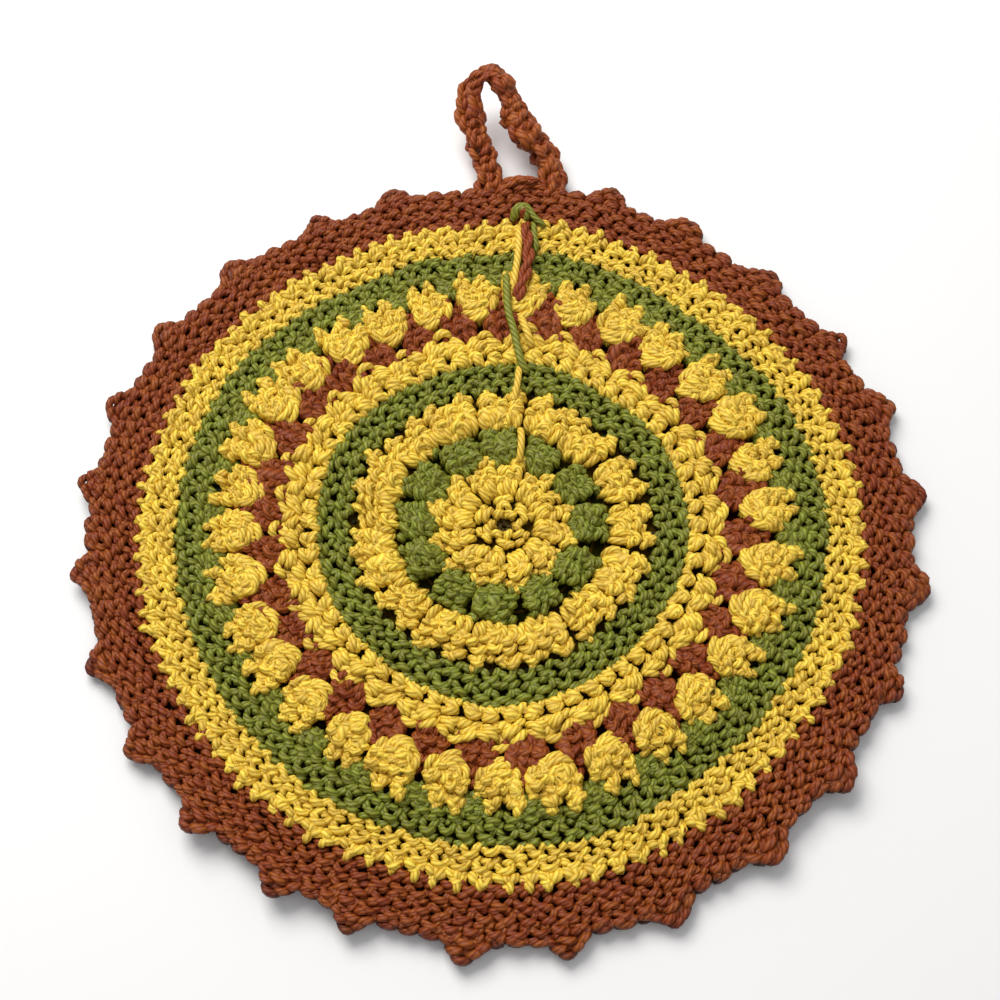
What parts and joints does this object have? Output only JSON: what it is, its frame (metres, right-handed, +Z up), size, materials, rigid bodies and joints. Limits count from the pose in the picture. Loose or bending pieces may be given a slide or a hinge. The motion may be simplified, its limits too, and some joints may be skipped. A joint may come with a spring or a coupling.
{
  "type": "crocheted pot holder",
  "caption": "Round crocheted pot holder in bands of yellow, green and rust cotton, with a picot edging and a hanging loop, lying flat.",
  "frame": {"origin": "centre of the round mat's flat underside, on the surface it lies on", "axes": "+Z up out of the mat's face, +Y towards the hanging loop, +X to the right seen from above"},
  "size_m": [0.124, 0.1435, 0.011],
  "materials": {
    "yellow_yarn": "matt mercerised cotton yarn, warm yellow",
    "green_yarn": "matt mercerised cotton yarn, olive green",
    "rust_yarn": "matt mercerised cotton yarn, rust brown"
  },
  "bodies": {
    "root": {"mat": "yellow_yarn", "picot_edging": "rust_yarn", "hanging_loop": "rust_yarn", "rust_strand": "rust_yarn", "yellow_strand": "yellow_yarn", "green_strand": "green_yarn", "yellow_tail": "yellow_yarn", "yellow_tail_inner": "yellow_yarn", "green_tail": "green_yarn"}
  },
  "joints": []
}
